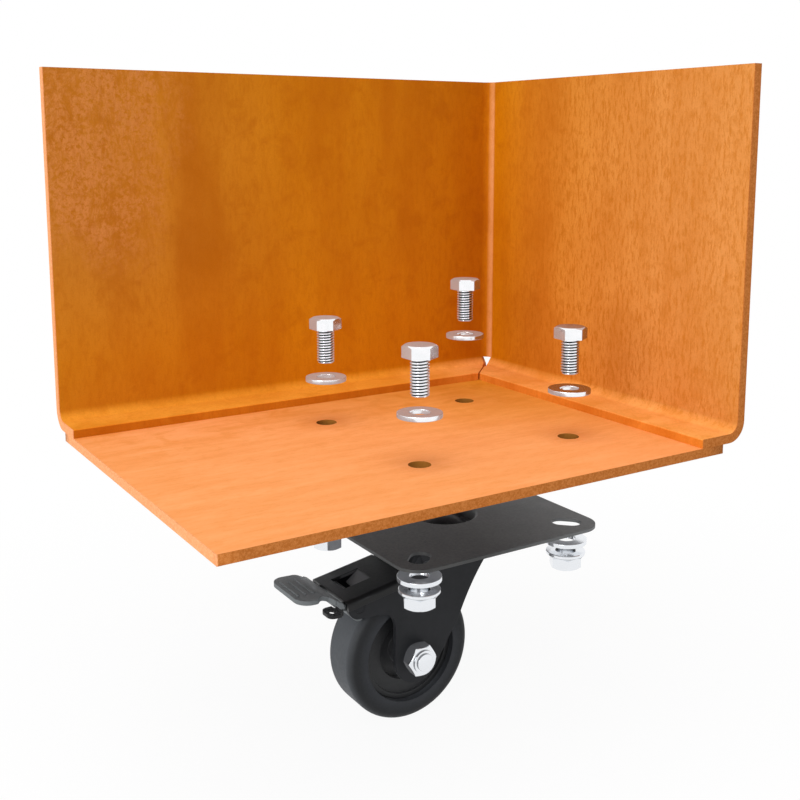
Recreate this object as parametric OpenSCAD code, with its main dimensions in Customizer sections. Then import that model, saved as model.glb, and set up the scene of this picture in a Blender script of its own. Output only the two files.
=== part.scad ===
// One corner of a rolling steel planter, cut away from the box and drawn apart along its bolts:
// a bent weathering-steel corner on a base plate, and the braked swivel caster that bolts below it.

/* [Planter corner] */
// Length of the back wall that is kept, along X
planter_w = 250; // [220:1:320]
// Length of the side wall that is kept, along Y
planter_d = 188; // [180:1:260]
// Height of the walls above the base plate
wall_h = 163.5; // [80:0.5:400]
// Thickness of the bent wall sheet
sheet_t = 4; // [3:0.5:5]
// Inside radius of every bend in the wall sheet
bend_in = 5; // [3:0.5:6]
// Depth of the bottom flange, from the outer face of its wall
flange_d = 25.5; // [22:0.5:40]
// Thickness of the base plate
plate_t = 4; // [3:0.5:6]
// How far the base plate stays inside the outer faces of the walls
plate_inset = 13; // [10:0.5:18]
// Width of the saw slit where the two bottom flanges meet
slit_w = 0.8; // [0.5:0.1:2]
// Width and height of the relief notch above that slit
notch = [5.2, 7.5]; // [3:0.1:10]

/* [Bolts, washers and nuts] */
// Distance between neighbouring bolts, both ways
bolt_pitch = 80; // [76:1:82]
// Distance from the swivel axis to the outer faces of the planter
axis_inset = 101; // [90:1:120]
// Thread diameter of the bolts
bolt_d = 8; // [6:1:8]
// Length of the bolts under the head
bolt_len = 16; // [14:1:20]
// Width across flats of the bolt heads and nuts
hex_af = 13; // [10:1:13]
// Height of the bolt heads
head_h = 5.3; // [4:0.1:6]
// Diameter of the holes in the base plate
hole_d = 9.5; // [9:0.1:11]
// Outer diameter, bore and thickness of the washers
washer = [19, 8.6, 2]; // [1:0.1:24]
// Height of the flange nuts
nut_h = 8; // [6:0.1:8]
// Diameter of the flange on the nuts
nut_flange_d = 17.9; // [15:0.1:18]

/* [How far the pieces stand apart] */
// Gap between the base plate and the caster plate
caster_drop = 36.2; // [10:0.1:60]
// Gap between the base plate and the washers above it
washer_lift = 20.2; // [5:0.1:40]
// Gap between those washers and the bolt heads
bolt_lift = 22.7; // [17:0.1:40]
// How much higher the washer and bolt in the planter's corner stand
back_lift = 12.7; // [0:0.1:20]
// Gap between the caster plate and the washers below it
washer_drop = 6; // [1:0.1:6]
// Gap between those washers and the nuts
nut_drop = 3.7; // [1:0.05:3.7]

/* [Caster] */
// Height of the caster from the floor to the top of its plate
caster_h = 90.3; // [90:0.1:94]
// Side and thickness of the square caster plate
caster_plate_size = [105, 1.5]; // [1.5:0.5:110]
// Length and width of the bolt slots in the caster plate
slot = [13.5, 9]; // [8.6:0.1:15]
// Distance from the swivel axis back to the axle
trail = 25; // [24:0.5:28]
// Diameter of the wheel
wheel_d = 64; // [61:0.5:64]
// Width of the wheel
wheel_w = 22; // [18:0.5:22]
// Diameter of the axle bolt
axle_d = 8; // [6:1:8]
// Clear width between the cheeks of the fork
fork_gap = 25; // [24:0.5:26]
// Thickness of the fork's steel
fork_t = 2.3; // [1.5:0.1:2.3]

/* [Hidden] */
$fn = 64;
cut = 1;                                  // how far a cutter runs past what it cuts

// Places, with the origin under the middle of the footprint and the floor at z = 0
outer_x = planter_w / 2;
outer_y = planter_d / 2;
axis_x = outer_x - axis_inset;
axis_y = outer_y - axis_inset;
caster_z = caster_h;                      // top of the caster plate
deck_z = caster_z + caster_drop + plate_t;  // top of the base plate
bend_out = bend_in + sheet_t;

// Corners of the bolt square: three in the open, and the one in the planter's corner
open_spots = [[-1, -1], [-1, 1], [1, -1]];
back_spots = [[1, 1]];
washer_top_z = deck_z + washer_lift;      // underside of the upper washers
head_z = washer_top_z + washer[2] + bolt_lift;
plate_under_z = caster_z - caster_plate_size[1];
washer_low_z = plate_under_z - washer_drop - washer[2];
nut_z = washer_low_z - nut_drop - nut_h;

// Swivel head, measured down from the top of the caster plate
plate_corner_r = 11;
cup_r = 14.5;                             // inside radius of the pressed cup
cup_depth = 6;
race_r = 25;                              // outside radius of the upper race
race_depth = 7;                           // from the top of the plate to the underside of that race
pin_r = 5;
ball_r = 2.4;
ball_ring_r = 20.5;
crown_z = caster_z - 10.4;                // top of the fork's crown
crown_t = 2.5;
crown_r = 27;
upper_ball_z = crown_z + ball_r + 0.02;
low_ball_r = 1.7;
low_ring_r = 9;
low_ball_z = crown_z - crown_t - low_ball_r - 0.1;
low_race_z = low_ball_z - 0.8;            // top of the lower race
low_race_r = fork_gap / 2 - 0.5;
low_race_t = 3;

// Fork, brake and wheel
wheel_r = wheel_d / 2;
axle_z = wheel_r;
cheek_y = fork_gap / 2;                   // inner face of a cheek
cheek_out = cheek_y + fork_t;
rim_r = wheel_r - 9.2;                    // bore of the tyre; the wheel centre is 0.03 mm smaller
boss_half = cheek_y - 0.3;
bush_d = axle_d + 4;
axle_nut_h = 7;
housing_slope = 9.54;                     // the brake housing falls to the rear by this angle
housing_end = [-61.1, 66.4];              // rear end of its top face, from the axis and floor
housing_len = 31;
housing_t = 1.5;
housing_half = cheek_out + 0.1 + housing_t;
brake_pin = [-54, 62];                    // pedal pin, from the axis and floor
brake_pin_r = 2.4;
ear_r = 3.4;                              // round end of what turns on the pedal pin
pedal_strip_z = 64.3;                     // underside of the pedal's cross strip

// Puts its children on the swivel axis
module on_axis() {
    translate([axis_x, axis_y, 0]) children();
}

// Puts its children on the bolts at these corners of the bolt square
module on_bolts(spots) {
    for (spot = spots)
        translate([axis_x + spot.x * bolt_pitch / 2, axis_y + spot.y * bolt_pitch / 2, 0]) children();
}

// Puts its children on each of the four bolts
module on_all_bolts() {
    on_bolts(concat(open_spots, back_spots)) children();
}

// Turns a shape made round the Z axis so that it lies along Y, its top towards the front
module along_y(x, z) {
    on_axis() translate([x, 0, z]) rotate([90, 0, 0]) children();
}

// Pushes a 2D outline drawn in X and height from y0 to y1, measured from the swivel axis
module side_plate(y0, y1) {
    on_axis() translate([0, y1, 0]) rotate([90, 0, 0]) linear_extrude(y1 - y0) children();
}

// A hexagonal prism with its top corners turned off by steep, bored when bore is above 0
module hex_block(af, h, bore = 0, both = false, steep = 0.6) {
    corner_r = af / 2 / cos(30);
    chamfer = (corner_r - af / 2) * steep;
    difference() {
        intersection() {
            cylinder(r = corner_r, h = h, $fn = 6);
            rotate_extrude() polygon([
                [0, 0], [both ? af / 2 : corner_r, 0], [corner_r, both ? chamfer : 0],
                [corner_r, h - chamfer], [af / 2 * 0.96, h], [0, h]
            ]);
        }
        if (bore > 0) translate([0, 0, -cut]) cylinder(d = bore, h = h + 2 * cut);
    }
}

// A flat round ring
module ring(outer_d, bore, h) {
    difference() {
        cylinder(d = outer_d, h = h);
        translate([0, 0, -cut]) cylinder(d = bore, h = h + 2 * cut);
    }
}

// A washer, from its underside up
module flat_washer() {
    ring(washer[0], washer[1], washer[2]);
}

// A hexagon bolt, its head standing on z = 0
module hex_bolt() {
    point = 1;                              // chamfer at the end of the thread
    rotate([0, 0, 30]) hex_block(hex_af, head_h);
    translate([0, 0, -bolt_len]) rotate_extrude() polygon([
        [0, 0], [bolt_d / 2 - point, 0], [bolt_d / 2, point], [bolt_d / 2, bolt_len], [0, bolt_len]
    ]);
}

// Section of a wall: u runs in from the outer face, v up from the base plate
module wall_section(top) {
    translate([bend_out, 0]) square([flange_d - bend_out, sheet_t]);
    intersection() {
        square(bend_out);
        translate([bend_out, bend_out]) difference() {
            circle(bend_out);
            circle(bend_in);
        }
    }
    if (top > bend_out) translate([0, bend_out]) square([sheet_t, top - bend_out]);
}

// Cutter past the 45-degree mitre: side is 1 for the back wall and -1 for the side wall
module mitre_cutter(side) {
    reach = 60;                             // longer than the flanges are deep
    translate([outer_x, outer_y, deck_z - cut]) rotate([0, 0, 225])
        translate([-reach, side > 0 ? -slit_w / 2 : -reach + slit_w / 2, 0])
            cube([2 * reach, reach, bend_out + cut]);
}

// The wall sheet: two walls round one vertical bend, each turned in at the bottom as a flange
module corner_sheet() color("chocolate") {
    corner = [outer_x - bend_out, outer_y - bend_out];
    difference() {
        union() {
            // back wall and side wall, up to the vertical bend
            difference() {
                translate([corner.x, outer_y, deck_z]) rotate([90, 0, -90])
                    linear_extrude(planter_w - bend_out) wall_section(wall_h);
                mitre_cutter(1);
            }
            difference() {
                translate([outer_x, -outer_y, deck_z]) rotate([90, 0, 180])
                    linear_extrude(planter_d - bend_out) wall_section(wall_h);
                mitre_cutter(-1);
            }
            // vertical bend
            translate([corner.x, corner.y, deck_z + notch.y]) intersection() {
                difference() {
                    cylinder(r = bend_out, h = wall_h - notch.y);
                    translate([0, 0, -cut]) cylinder(r = bend_in, h = wall_h + 2 * cut);
                }
                cube([bend_out, bend_out, wall_h]);
            }
            // ends of the two bottom bends, inside the rounded corner
            intersection() {
                translate([corner.x, corner.y, deck_z]) cylinder(r = bend_out, h = bend_out);
                translate([corner.x, corner.y, deck_z]) cube(bend_out);
                union() {
                    difference() {
                        translate([outer_x, outer_y, deck_z]) rotate([90, 0, -90])
                            linear_extrude(bend_out) wall_section(bend_out);
                        mitre_cutter(1);
                    }
                    difference() {
                        translate([outer_x, corner.y, deck_z]) rotate([90, 0, 180])
                            linear_extrude(bend_out) wall_section(bend_out);
                        mitre_cutter(-1);
                    }
                }
            }
        }
        // relief notch, an upside-down wedge through the corner
        translate([outer_x, outer_y, deck_z]) rotate([0, 0, 45]) rotate([90, 0, -90])
            linear_extrude(bend_out * 2) polygon([
                [-notch.x / 2, notch.y], [0, notch.y * 0.15], [notch.x / 2, notch.y]
            ]);
    }
}

// The flat base plate, drilled for the four caster bolts
module base_plate() color("sandybrown") {
    difference() {
        translate([-outer_x, -outer_y, deck_z - plate_t])
            cube([planter_w - plate_inset, planter_d - plate_inset, plate_t]);
        on_all_bolts() translate([0, 0, deck_z - plate_t - cut]) cylinder(d = hole_d, h = plate_t + 2 * cut);
    }
}

// Three of the washers that go between the bolt heads and the base plate
module top_washers() color("gainsboro") {
    on_bolts(open_spots) translate([0, 0, washer_top_z]) flat_washer();
}

// Three of the hexagon bolts, heads up
module hex_bolts() color("whitesmoke") {
    on_bolts(open_spots) translate([0, 0, head_z]) hex_bolt();
}

// The fourth washer, drawn up higher in the planter's corner
module back_washer() color("gainsboro") {
    on_bolts(back_spots) translate([0, 0, washer_top_z + back_lift]) flat_washer();
}

// The fourth bolt, over that washer
module back_bolt() color("whitesmoke") {
    on_bolts(back_spots) translate([0, 0, head_z + back_lift]) hex_bolt();
}

// Outline of the caster plate: a square with rounded corners
module rounded_square(size, r) {
    square([size, size - 2 * r], center = true);
    square([size - 2 * r, size], center = true);
    for (sx = [-1, 1], sy = [-1, 1])
        translate([sx * (size / 2 - r), sy * (size / 2 - r)]) circle(r);
}

// Half section of the cup pressed down in the caster plate
module cup_section() {
    wall = caster_plate_size[1];
    difference() {
        translate([pin_r, -cup_depth - wall]) square([cup_r + wall - pin_r, cup_depth + wall]);
        translate([0, -cup_depth]) square([cup_r, cup_depth + cut]);
        difference() {
            translate([cup_r, -wall]) square([wall, wall + cut]);
            translate([cup_r + wall, -wall]) circle(wall);
        }
    }
}

// Pressed plate with a cup for the kingpin and four slots that point at the swivel axis
module caster_plate() color("dimgray") {
    wall = caster_plate_size[1];
    on_axis() translate([0, 0, caster_z]) {
        difference() {
            translate([0, 0, -wall]) linear_extrude(wall)
                rounded_square(caster_plate_size[0], plate_corner_r);
            translate([0, 0, -wall - cut]) cylinder(r = cup_r + wall - 0.2, h = wall + 2 * cut);
            for (a = [45:90:315]) rotate([0, 0, a])
                translate([bolt_pitch * sqrt(0.5), 0, -wall - cut])
                    linear_extrude(wall + 2 * cut) {
                        square([slot[0] - slot[1], slot[1]], center = true);
                        for (s = [-1, 1]) translate([s * (slot[0] - slot[1]) / 2, 0]) circle(d = slot[1]);
                    }
        }
        rotate_extrude() cup_section();
    }
}

// Ring welded under the caster plate, grooved for the upper balls
module upper_race() color("gray") {
    bore = 2 * (cup_r + caster_plate_size[1]);
    on_axis() difference() {
        translate([0, 0, caster_z - race_depth]) ring(2 * race_r, bore, race_depth - caster_plate_size[1]);
        rotate_extrude() translate([ball_ring_r, upper_ball_z]) circle(ball_r + 0.1);
    }
}

// Plastic ring that keeps dirt out of the upper balls
module dust_ring() color("black") {
    skirt = plate_under_z - crown_z - 0.4;
    on_axis() translate([0, 0, plate_under_z - skirt]) ring(2 * crown_r, 2 * race_r, skirt);
}

// Rivet that holds the swivel head together, with a domed head in the cup
module kingpin() color("darkgray") {
    head_r = 11.5;
    dome_h = 4.6;
    dome_r = (head_r * head_r + dome_h * dome_h) / (2 * dome_h);
    shank_bottom = low_race_z - low_race_t;
    on_axis() {
        translate([0, 0, caster_z - cup_depth]) intersection() {
            cylinder(r = head_r, h = dome_h);
            translate([0, 0, dome_h - dome_r]) sphere(dome_r);
        }
        translate([0, 0, shank_bottom]) cylinder(r = pin_r, h = caster_z - cup_depth - shank_bottom);
        translate([0, 0, shank_bottom - 2.5]) rotate_extrude() polygon([
            [0, 0], [5.5, 0], [7.5, 1.2], [7.5, 2.5], [0, 2.5]
        ]);
    }
}

// Lower ball race, clamped between the fork and the riveted end of the kingpin
module lower_race() color("gray") {
    on_axis() difference() {
        translate([0, 0, low_race_z - low_race_t]) ring(2 * low_race_r, 2 * pin_r, low_race_t);
        rotate_extrude() translate([low_ring_r, low_ball_z]) circle(low_ball_r + 0.05);
    }
}

// Washers below the caster plate
module lower_washers() color("gainsboro") {
    on_all_bolts() translate([0, 0, washer_low_z]) flat_washer();
}

// Flange nuts, flange up
module flange_nuts() color("whitesmoke") {
    flange_t = 1.6;
    bore = bolt_d + 0.1;
    on_all_bolts() translate([0, 0, nut_z]) difference() {
        union() {
            mirror([0, 0, 1]) translate([0, 0, -nut_h + 0.5]) hex_block(hex_af, nut_h - 0.5);
            translate([0, 0, nut_h - flange_t - 1.2]) rotate_extrude() polygon([
                [0, 0], [hex_af / 2, 0], [nut_flange_d / 2, 1.2], [nut_flange_d / 2, flange_t + 1.2],
                [0, flange_t + 1.2]
            ]);
        }
        translate([0, 0, -cut]) cylinder(d = bore, h = nut_h + 2 * cut);
    }
}

// Side view of a fork cheek: x from the swivel axis, height from the floor
module cheek_outline() {
    shoulder = [20, crown_z - 1];          // front of the cheek under the crown
    crown_rear = -24;                      // and its rear
    knee = [-1.5, 45.4];                   // where the front edge turns steeper
    tip = [-24.4, 30.7];                   // middle of the round lower end
    tip_r = 11.4;
    arm_r = 5.7;                           // round rear end of the brake arm
    arm_end = [-54.1, 62.6];
    crook_r = 8;                           // inside corner between the leg and the arm
    leg_x = tip.x - tip_r;
    arm_z = 56.1;
    above = arm_z + 18;                    // higher than the sloping upper edge
    rear = housing_end.x - 9;              // behind the brake arm
    // tangent point of the front edge on the round lower end
    reach = norm(knee - tip);
    around = atan2(knee.y - tip.y, knee.x - tip.x) - acos(tip_r / reach);
    touch = tip + tip_r * [cos(around), sin(around)];
    // the front edge above the knee is hollow, by an arc of this radius
    hollow_r = 110;
    chord = shoulder - knee;
    middle = (shoulder + knee) / 2;
    side = [chord.y, -chord.x] / norm(chord);
    hollow = middle + side * sqrt(hollow_r * hollow_r - pow(norm(chord) / 2, 2));
    // upper edge, along the underside of the brake housing
    fall = tan(housing_slope);
    edge_z = housing_end.y - housing_t - 0.15;
    difference() {
        union() {
            polygon([
                [leg_x, tip.y], [leg_x, arm_z + 13.7], [crown_rear, shoulder.y], shoulder, knee, touch, tip
            ]);
            translate(tip) circle(tip_r);
            translate([leg_x - crook_r, arm_z - crook_r]) difference() {
                square(crook_r + 0.5);
                circle(crook_r);
            }
            polygon([
                [leg_x + 1, arm_z], [leg_x + 1, above], [arm_end.x, above], [arm_end.x, arm_end.y - arm_r]
            ]);
            translate(arm_end) circle(arm_r);
        }
        translate(hollow) circle(hollow_r, $fn = 200);
        polygon([
            [rear, edge_z + (rear - housing_end.x) * fall], [rear, above + 10], [crown_rear, above + 10],
            [crown_rear, shoulder.y], [housing_end.x + housing_len, edge_z + housing_len * fall]
        ]);
        translate([-trail, axle_z]) circle(d = axle_d);
        translate(brake_pin) circle(brake_pin_r);
    }
}

// Fork pressed from one sheet: a round crown and two swept cheeks with brake arms
module fork() color("#26272b") {
    shoulder_r = 4;
    shoulder_len = 40;
    under_z = crown_z - crown_t;
    difference() {
        union() {
            side_plate(cheek_y, cheek_out) cheek_outline();
            side_plate(-cheek_out, -cheek_y) cheek_outline();
            on_axis() translate([0, 0, under_z]) cylinder(r = crown_r, h = crown_t);
            // rounded shoulders where the cheeks turn out into the crown
            intersection() {
                on_axis() translate([0, 0, under_z - 2 * shoulder_r]) cylinder(r = crown_r, h = 3 * shoulder_r);
                on_axis() for (s = [0, 1]) mirror([0, s, 0])
                    translate([-shoulder_len / 2 - 2, cheek_out, under_z]) rotate([90, 0, 90])
                        linear_extrude(shoulder_len) difference() {
                            translate([-fork_t / 2, -shoulder_r])
                                square([shoulder_r + fork_t / 2, shoulder_r + crown_t / 2]);
                            translate([shoulder_r, -shoulder_r]) circle(shoulder_r);
                        }
            }
        }
        on_axis() translate([0, 0, under_z - cut]) cylinder(r = pin_r + 2, h = crown_t + 2 * cut);
    }
}

// Balls between the caster plate and the crown
module upper_balls() color("silver") {
    count = 20;
    on_axis() for (i = [0:count - 1]) rotate([0, 0, i * 360 / count])
        translate([ball_ring_r, 0, upper_ball_z]) sphere(ball_r);
}

// Balls between the crown and the lower race
module lower_balls() color("silver") {
    count = 14;
    on_axis() for (i = [0:count - 1]) rotate([0, 0, i * 360 / count])
        translate([low_ring_r, 0, low_ball_z]) sphere(low_ball_r);
}

// Section across the brake housing, its top at zero
module housing_section() {
    bend = 2.2;
    depth = 4.2;
    difference() {
        union() {
            translate([-housing_half, -depth]) square([2 * housing_half, depth - bend]);
            translate([-housing_half + bend, -bend]) square([2 * (housing_half - bend), bend]);
            for (s = [-1, 1]) translate([s * (housing_half - bend), -bend]) circle(bend);
        }
        translate([-housing_half + housing_t, -depth - cut])
            square([2 * (housing_half - housing_t), depth + cut - housing_t]);
    }
}

// Channel that straddles the brake arms, with a window and a tab lanced down from its front edge
module brake_housing() color("black") {
    window = [14, 12];
    window_x = 5.2;
    window_y = 2;
    tab_len = 8;
    tab_fall = 26;
    on_axis() translate([housing_end.x, 0, housing_end.y]) rotate([0, -housing_slope, 0]) {
        difference() {
            rotate([90, 0, 90]) linear_extrude(housing_len) housing_section();
            translate([window_x, window_y - window.y / 2, -housing_t - cut])
                cube([window.x, window.y, housing_t + 2 * cut]);
        }
        translate([window_x + window.x, window_y, 0]) rotate([0, -tab_fall, 0])
            translate([-tab_len, -window.y / 2 + 0.5, -housing_t])
                cube([tab_len + 0.4, window.y - 1, housing_t - 0.1]);
    }
}

// Pin that the brake pedal turns on, flush in the cheeks
module pedal_pin() color("#26272b") {
    along_y(brake_pin.x, brake_pin.y) translate([0, 0, -cheek_out]) cylinder(r = brake_pin_r, h = 2 * cheek_out);
}

// Bolt that the wheel turns on, its head at the back
module axle_bolt() color("gainsboro") {
    tail = axle_nut_h + 1.5;                // length in front of the cheek
    dome_r = 10;
    along_y(-trail, axle_z) {
        translate([0, 0, -cheek_out]) mirror([0, 0, 1]) hex_block(hex_af, head_h);
        translate([0, 0, -cheek_out]) cylinder(d = axle_d, h = 2 * cheek_out + axle_nut_h / 2);
        // domed end, proud of the nut
        intersection() {
            cylinder(d = axle_d, h = cheek_out + tail);
            translate([0, 0, cheek_out + tail - dome_r]) sphere(dome_r);
        }
    }
}

// Nut on the front end of the axle bolt, deeply chamfered, with a turned collar
module axle_nut() color("gainsboro") {
    collar = [10.6, 0.7];                   // diameter and height
    along_y(-trail, axle_z) translate([0, 0, cheek_out]) {
        hex_block(hex_af, axle_nut_h - collar[1], axle_d, true, 1.1);
        translate([0, 0, axle_nut_h - collar[1]]) ring(collar[0], axle_d, collar[1]);
    }
}

// Unit vector square to the run from a to b, on its upper side when b lies to the right
function upper(a, b) = [a.y - b.y, b.x - a.x] / norm(b - a);

// Points round the bend at b, between the runs a-b and b-c, with a middle radius of r
function bend(a, b, c, r) =
    let (
        steps = 6,
        u = (a - b) / norm(a - b),
        v = (c - b) / norm(c - b),
        half = acos(u * v) / 2,
        centre = b + (u + v) / norm(u + v) * r / sin(half),
        arm = b + u * r / tan(half) - centre,
        turn = (cross(u, v) > 0 ? -1 : 1) * (180 - 2 * half)
    )
    [for (i = [0:steps]) let (w = turn * i / steps)
        centre + [arm.x * cos(w) - arm.y * sin(w), arm.x * sin(w) + arm.y * cos(w)]];

// Side view of a sheet of thickness t that follows a list of points
module bent_strip(points, t) {
    last = len(points) - 1;
    side = [for (i = [0:last])
        let (
            before = upper(points[max(i - 1, 0)], points[max(i, 1)]),
            after = upper(points[min(i, last - 1)], points[min(i + 1, last)])
        )
        t / 2 * (before + after) / (1 + before * after)];
    polygon(concat(
        [for (i = [0:last]) points[i] + side[i]],
        [for (i = [last:-1:0]) points[i] - side[i]]
    ));
}

// Foot pedal: a ribbed pad that steps down to a cross strip, and two ears on the pin
module brake_pedal() color("dimgray") {
    steel = 2;
    pad_tip = [-83.2, 70.4];
    pad_root = [-70.8, 69.8];
    step = [-63.9, 66.2];
    foot = [-63.1, 63.1];                  // lower end of the leg that carries the ears
    pad_front = -15.5;
    pad_back = 14.5;
    pad_round = 6;
    rib = [0.9, 1.6];                      // width, and height with the part sunk in the pad
    rib_half = 8.5;
    rib_pitch = 3.6;
    ear_y = 9.6;                           // inner face of an ear
    half_strip = 16.3;
    ramp_x = step.x - 1.8;                 // the cross strip reaches this far up the ramp
    low = foot.y - 4;
    tall = 20;
    difference() {
        union() {
            // one bent sheet: pad, ramp, cross strip and leg
            intersection() {
                side_plate(-half_strip, half_strip) bent_strip(concat(
                    [pad_tip], bend(pad_tip, pad_root, step, 7), bend(pad_root, step, foot, 1.6), [foot]
                ), steel);
                on_axis() translate([0, 0, low]) linear_extrude(tall) {
                    translate([pad_tip.x, pad_front + pad_round])
                        square([ramp_x - pad_tip.x + cut, pad_back - pad_front - 2 * pad_round]);
                    translate([pad_tip.x + pad_round, pad_front])
                        square([ramp_x - pad_tip.x - pad_round + cut, pad_back - pad_front]);
                    for (y = [pad_front + pad_round, pad_back - pad_round])
                        translate([pad_tip.x + pad_round, y]) circle(pad_round);
                    translate([ramp_x, -half_strip]) square([tall, 2 * half_strip]);
                }
            }
            // grip ribs along the pad
            for (i = [0:2]) side_plate(-rib_half, rib_half)
                translate(pad_tip + [2.6 + i * rib_pitch, steel / 2 - 0.4 - i * 0.18]) square(rib, center = true);
            // ears
            for (s = [-1, 1]) {
                inner = s * (ear_y + steel / 2) - steel / 2;
                side_plate(inner, inner + steel) {
                    polygon([
                        foot + [-0.5, -1.4], brake_pin - [0, 2.8], brake_pin + [0, 2.8], foot + [-0.5, 0.6]
                    ]);
                    translate(brake_pin) circle(ear_r);
                }
            }
        }
        // leg narrower than the cross strip
        for (s = [0, 1]) on_axis() mirror([0, s, 0])
            translate([step.x - 4, ear_y + steel, low]) cube([9, 9, pedal_strip_z - low]);
        // scallop in the front edge, over the release tongue
        on_axis() translate([pad_root.x + 0.5, pad_front, low]) linear_extrude(tall)
            polygon([[-5, -2], [-4.6, 0], [-2.2, 2.4], [1.8, 2.4], [3.6, 0.6], [3.6, -2]]);
        side_plate(-half_strip, half_strip) translate(brake_pin) circle(brake_pin_r + 0.05);
    }
}

// Cam between the pedal's ears that comes down on the tyre when the pedal is pressed
module brake_cam() color("gray") {
    half = 9.5;
    lobe_r = 2.5;
    lobe_reach = 6.8;
    lobe_angle = -69;
    side_plate(-half, half) translate(brake_pin) rotate(lobe_angle) difference() {
        union() {
            circle(ear_r);
            translate([0, -lobe_r]) square([lobe_reach, 2 * lobe_r]);
            translate([lobe_reach, 0]) circle(lobe_r);
        }
        circle(brake_pin_r + 0.05);
    }
}

// Steel loop under the front of the pedal that lifts it off again
module release_tongue() color("black") {
    steel = 1.6;
    loop_z = 61.2;
    far_x = -70;
    loop_x = -64.4;                        // near edge of the loop, clear of the pedal's leg
    end_x = -63.1;                         // near face of the upturned end
    middle_y = -12.5;
    loop_w = 9.4;
    corner_r = 3;
    eye = [2.1, 2, 1.5];                   // wall in front of the eye, its width, and its end radius
    on_axis() translate([0, middle_y, loop_z]) difference() {
        union() {
            translate([far_x + corner_r, -loop_w / 2, 0]) cube([loop_x - far_x - corner_r, loop_w, steel]);
            translate([far_x, corner_r - loop_w / 2, 0]) cube([corner_r + 1, loop_w - 2 * corner_r, steel]);
            for (s = [-1, 1])
                translate([far_x + corner_r, s * (loop_w / 2 - corner_r), 0]) cylinder(r = corner_r, h = steel);
            // upturned end, against the underside of the cross strip
            translate([end_x - steel, -loop_w / 2 + 1, 0]) cube([steel, 4.2, pedal_strip_z - loop_z]);
        }
        translate([far_x + eye[0], -eye[1] / 2, -cut]) cube([2.2, eye[1], steel + 2 * cut]);
        for (s = [-1, 1])
            translate([far_x + eye[0] + 1.1, s, -cut]) cylinder(r = eye[2], h = steel + 2 * cut);
    }
}

// Half section of the tyre: radius, and distance from the middle of the wheel
module tyre_section() {
    round_r = 4.6;
    half = wheel_w / 2;
    translate([rim_r, -half]) square([wheel_r - rim_r - round_r, wheel_w]);
    translate([rim_r, -half + round_r]) square([wheel_r - rim_r, wheel_w - 2 * round_r]);
    // rounded shoulders, no deeper than the bore
    intersection() {
        translate([rim_r, -half]) square([wheel_r - rim_r, wheel_w]);
        for (s = [-1, 1]) translate([wheel_r - round_r, s * (half - round_r)]) circle(round_r);
    }
}

// Rubber tyre with rounded shoulders
module tyre() color("#2b2c2f") {
    along_y(-trail, axle_z) rotate_extrude($fn = 96) tyre_section();
}

// Plastic wheel centre: a rim, a thick web with a sunk ring, and a boss
module wheel_hub() color("#1c1c1e") {
    half = 8;
    step_half = 6.5;                       // half width inside the raised lip of the rim
    web_half = 3.5;
    lip_r = 20.4;
    ring_r = 13.9;                         // outside of the sunk ring
    boss_r = 8;
    along_y(-trail, axle_z) difference() {
        union() {
            translate([0, 0, -half]) cylinder(r = rim_r - 0.03, h = 2 * half);
            translate([0, 0, -boss_half]) cylinder(r = boss_r, h = 2 * boss_half);
        }
        for (s = [0, 1]) mirror([0, 0, s]) {
            // shallow step inside the lip, and the sunk ring round the boss
            translate([0, 0, step_half]) ring(2 * lip_r, 2 * boss_r, half - step_half + cut);
            translate([0, 0, web_half]) ring(2 * ring_r, 2 * boss_r, half - web_half + cut);
        }
        translate([0, 0, -boss_half - cut]) cylinder(d = bush_d, h = 2 * boss_half + 2 * cut);
    }
}

// Sleeve pressed in the wheel centre, running on the axle bolt
module wheel_bush() color("darkgray") {
    along_y(-trail, axle_z) translate([0, 0, -boss_half]) ring(bush_d, axle_d + 0.1, 2 * boss_half);
}

corner_sheet();
base_plate();
top_washers();
hex_bolts();
back_washer();
back_bolt();
caster_plate();
upper_race();
dust_ring();
kingpin();
lower_race();
lower_washers();
flange_nuts();
fork();
upper_balls();
lower_balls();
brake_housing();
pedal_pin();
axle_bolt();
axle_nut();
brake_pedal();
brake_cam();
release_tongue();
tyre();
wheel_hub();
wheel_bush();
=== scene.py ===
# One corner of a rolling planter, cut away and drawn apart along its bolts: a bent weathering
# steel sheet on a base plate, and the braked swivel caster that bolts below it.
import math

import bmesh
import bpy
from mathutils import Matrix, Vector


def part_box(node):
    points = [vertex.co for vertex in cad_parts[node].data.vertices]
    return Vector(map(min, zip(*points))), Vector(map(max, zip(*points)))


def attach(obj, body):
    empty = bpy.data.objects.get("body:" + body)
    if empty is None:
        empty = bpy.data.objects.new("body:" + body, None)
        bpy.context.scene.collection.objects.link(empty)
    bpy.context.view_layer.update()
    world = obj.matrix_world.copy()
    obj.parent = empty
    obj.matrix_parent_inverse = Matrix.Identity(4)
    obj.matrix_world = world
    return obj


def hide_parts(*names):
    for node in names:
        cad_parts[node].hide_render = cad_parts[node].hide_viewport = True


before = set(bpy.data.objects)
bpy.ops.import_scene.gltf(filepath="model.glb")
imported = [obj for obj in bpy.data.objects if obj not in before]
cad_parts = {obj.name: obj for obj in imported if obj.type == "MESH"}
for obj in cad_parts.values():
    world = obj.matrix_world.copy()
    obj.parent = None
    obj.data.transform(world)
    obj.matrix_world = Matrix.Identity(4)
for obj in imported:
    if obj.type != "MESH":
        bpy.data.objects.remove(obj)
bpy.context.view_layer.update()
MM = 0.001


# ---- Wall sheet ------------------------------------------------------------------------------
# One 4 mm sheet of weathering steel, bent up round a vertical corner and turned in at the foot
# as two flanges. It is left bare, so it carries an even orange rust with rain streaks.

same_point = 0.002 * MM


def new_object(name, mesh):
    """An object at the origin, in the scene."""
    thing = bpy.data.objects.new(name, mesh)
    bpy.context.scene.collection.objects.link(thing)
    return thing


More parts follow.
